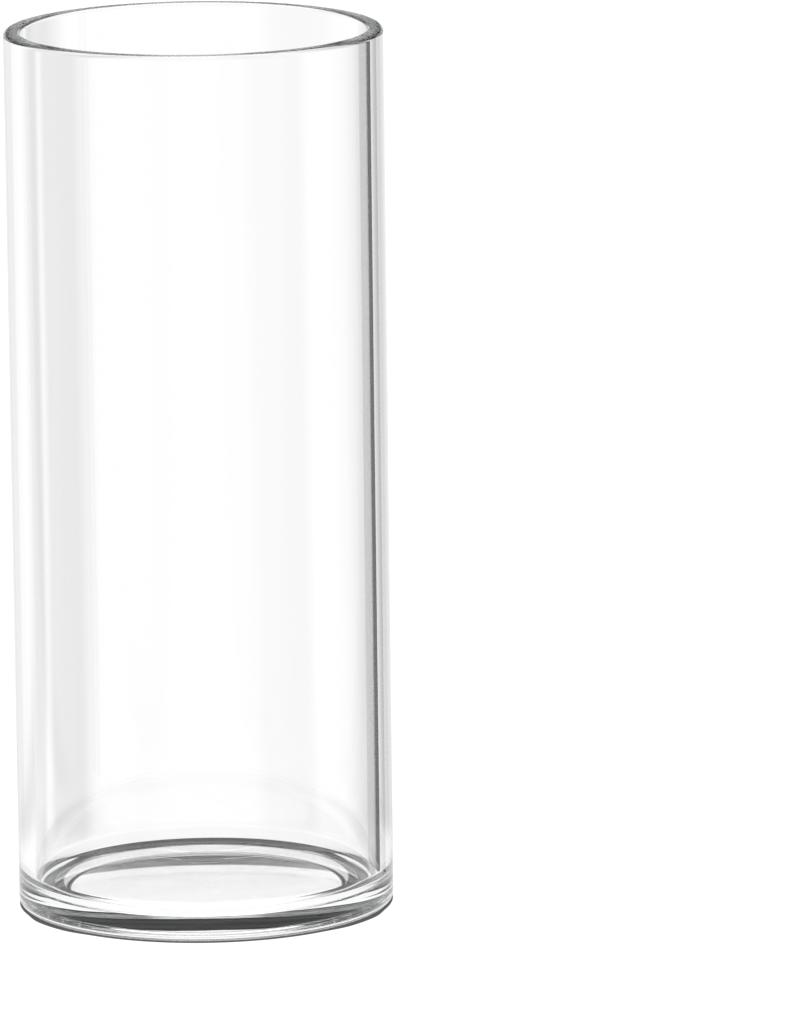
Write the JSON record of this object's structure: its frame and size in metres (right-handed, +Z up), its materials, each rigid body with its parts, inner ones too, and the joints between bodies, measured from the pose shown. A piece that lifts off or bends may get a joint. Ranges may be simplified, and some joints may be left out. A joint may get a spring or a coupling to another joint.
{
  "type": "glass cylinder vase",
  "caption": "Straight round clear-glass flower vase with a flat floor, a shallow recess under it and a flat, softly rounded lip.",
  "frame": {"origin": "centre of the foot's bearing plane, on the vase's axis", "axes": "+Z up along the vase's axis, from the foot to the mouth; the vase is round, so X and Y are any two level directions"},
  "size_m": [0.1, 0.1, 0.235],
  "materials": {
    "clear_glass": "clear, colourless soda-lime glass, fire-polished smooth all over"
  },
  "bodies": {
    "root": {"vase_body": "clear_glass"}
  },
  "joints": []
}
